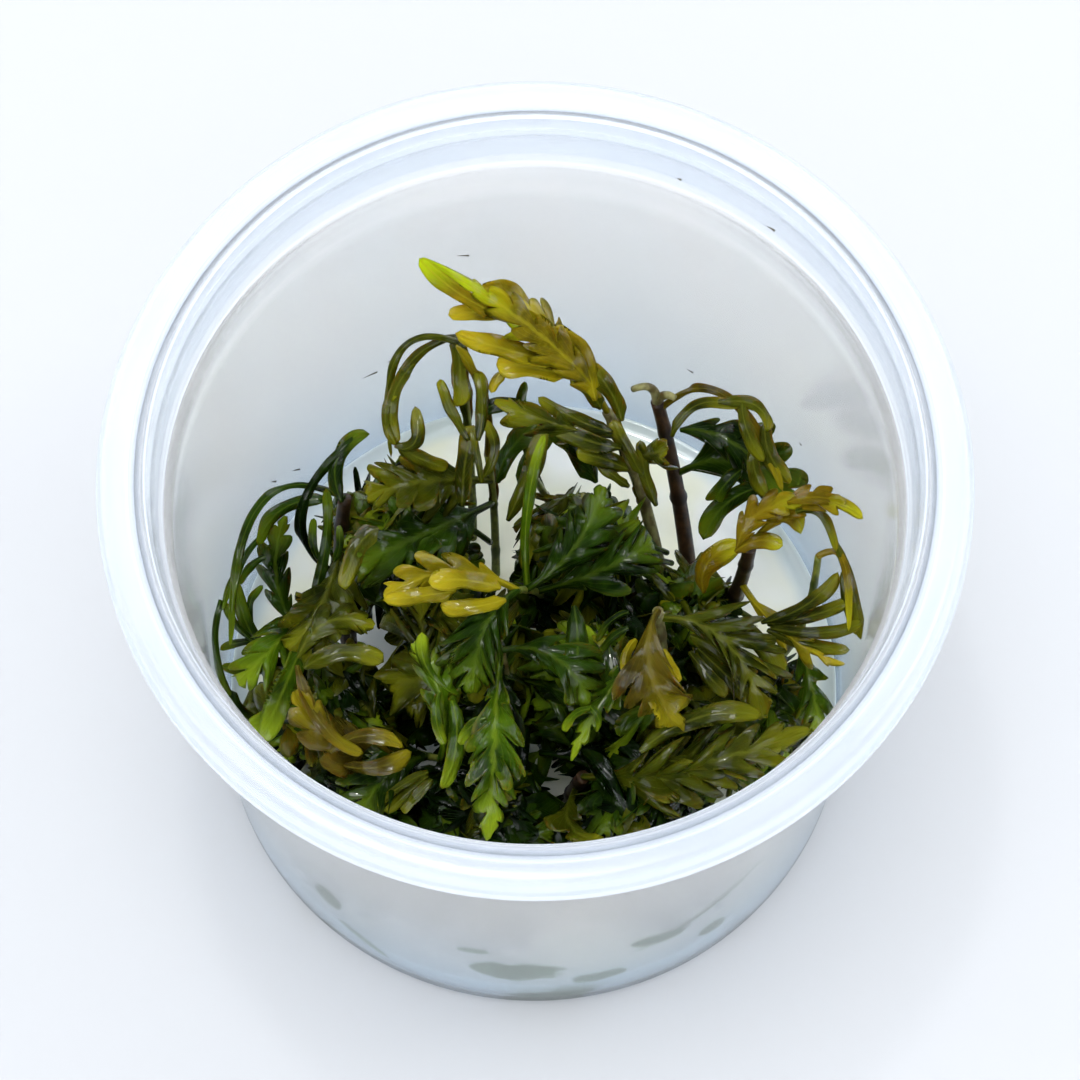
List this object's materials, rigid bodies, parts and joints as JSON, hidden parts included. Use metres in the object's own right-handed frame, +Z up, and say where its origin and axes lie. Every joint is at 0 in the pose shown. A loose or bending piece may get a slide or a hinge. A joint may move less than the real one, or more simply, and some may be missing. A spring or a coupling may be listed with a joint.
{
  "type": "tissue culture plant cup",
  "caption": "Young feather-leaved stem plants rooted in clear growing jelly inside an open, round, milky plastic culture jar.",
  "frame": {"origin": "centre of the jar's foot, on the surface that it stands on", "axes": "+Z up along the jar's axis, -Y towards the near side of the jar"},
  "size_m": [0.096, 0.096, 0.081],
  "materials": {
    "jar_plastic": "milky, see-through, smooth",
    "jelly": "wet, see-through",
    "stem_dark": "smooth, moist",
    "stem_green": "smooth, moist",
    "stem_olive": "smooth, moist",
    "leaf_bright": "thin, moist",
    "leaf_brown": "thin, moist",
    "leaf_deep": "thin, moist",
    "leaf_gold": "thin, moist",
    "leaf_green": "thin, moist",
    "leaf_olive": "thin, moist",
    "leaf_orange": "thin, moist",
    "young_leaves": "thin, moist"
  },
  "bodies": {
    "root": {"cup": "jar_plastic", "gel": "jelly", "stem_tall": "stem_olive", "stem_dark": "stem_dark", "stem_left": "stem_dark", "stem_antler": "stem_green", "stem_hook": "stem_green", "stem_centre": "stem_green", "stem_front_left": "stem_green", "stem_front": "stem_olive", "stem_low": "stem_dark", "stem_right": "stem_dark", "stem_front_right": "stem_olive", "stem_back": "stem_green", "stem_edge": "stem_green", "leaf_tall": "leaf_gold", "leaf_hook": "leaf_olive", "leaf_antler": "leaf_brown", "leaf_finger": "leaf_green", "leaf_cane": "leaf_deep", "leaf_far_left": "leaf_green", "leaf_peak": "leaf_deep", "leaf_strip": "leaf_bright", "leaf_loop": "leaf_brown", "leaf_rib": "leaf_green", "leaf_orange": "leaf_orange", "leaf_lacy": "leaf_orange", "leaf_fan": "leaf_gold", "leaf_gold": "leaf_gold", "leaf_twist": "leaf_bright", "leaf_front": "leaf_bright", "leaf_olive_left": "leaf_olive", "leaf_curl": "leaf_brown", "leaf_bright_left": "leaf_bright", "leaf_brown": "leaf_brown", "leaf_thin": "leaf_bright", "leaf_grey": "leaf_olive", "leaf_olive_front": "leaf_olive", "leaf_lobes": "leaf_olive", "leaf_bright_right": "leaf_bright", "leaf_mid_1": "leaf_olive", "leaf_mid_2": "leaf_green", "leaf_mid_3": "leaf_green", "leaf_mid_4": "leaf_green", "leaf_mid_5": "leaf_green", "leaf_mid_6": "leaf_green", "leaf_low_2": "leaf_green", "leaf_low_3": "leaf_deep", "leaf_tall_right": "leaf_olive", "leaf_tall_left": "leaf_olive", "tuft_left": "young_leaves", "tuft_back_left": "young_leaves", "tuft_middle": "young_leaves", "tuft_corner": "young_leaves", "tuft_front_left": "young_leaves", "tuft_centre": "young_leaves", "tuft_front_right": "young_leaves", "tuft_right": "young_leaves", "tuft_back": "young_leaves", "tuft_stem_side": "young_leaves"}
  },
  "joints": []
}
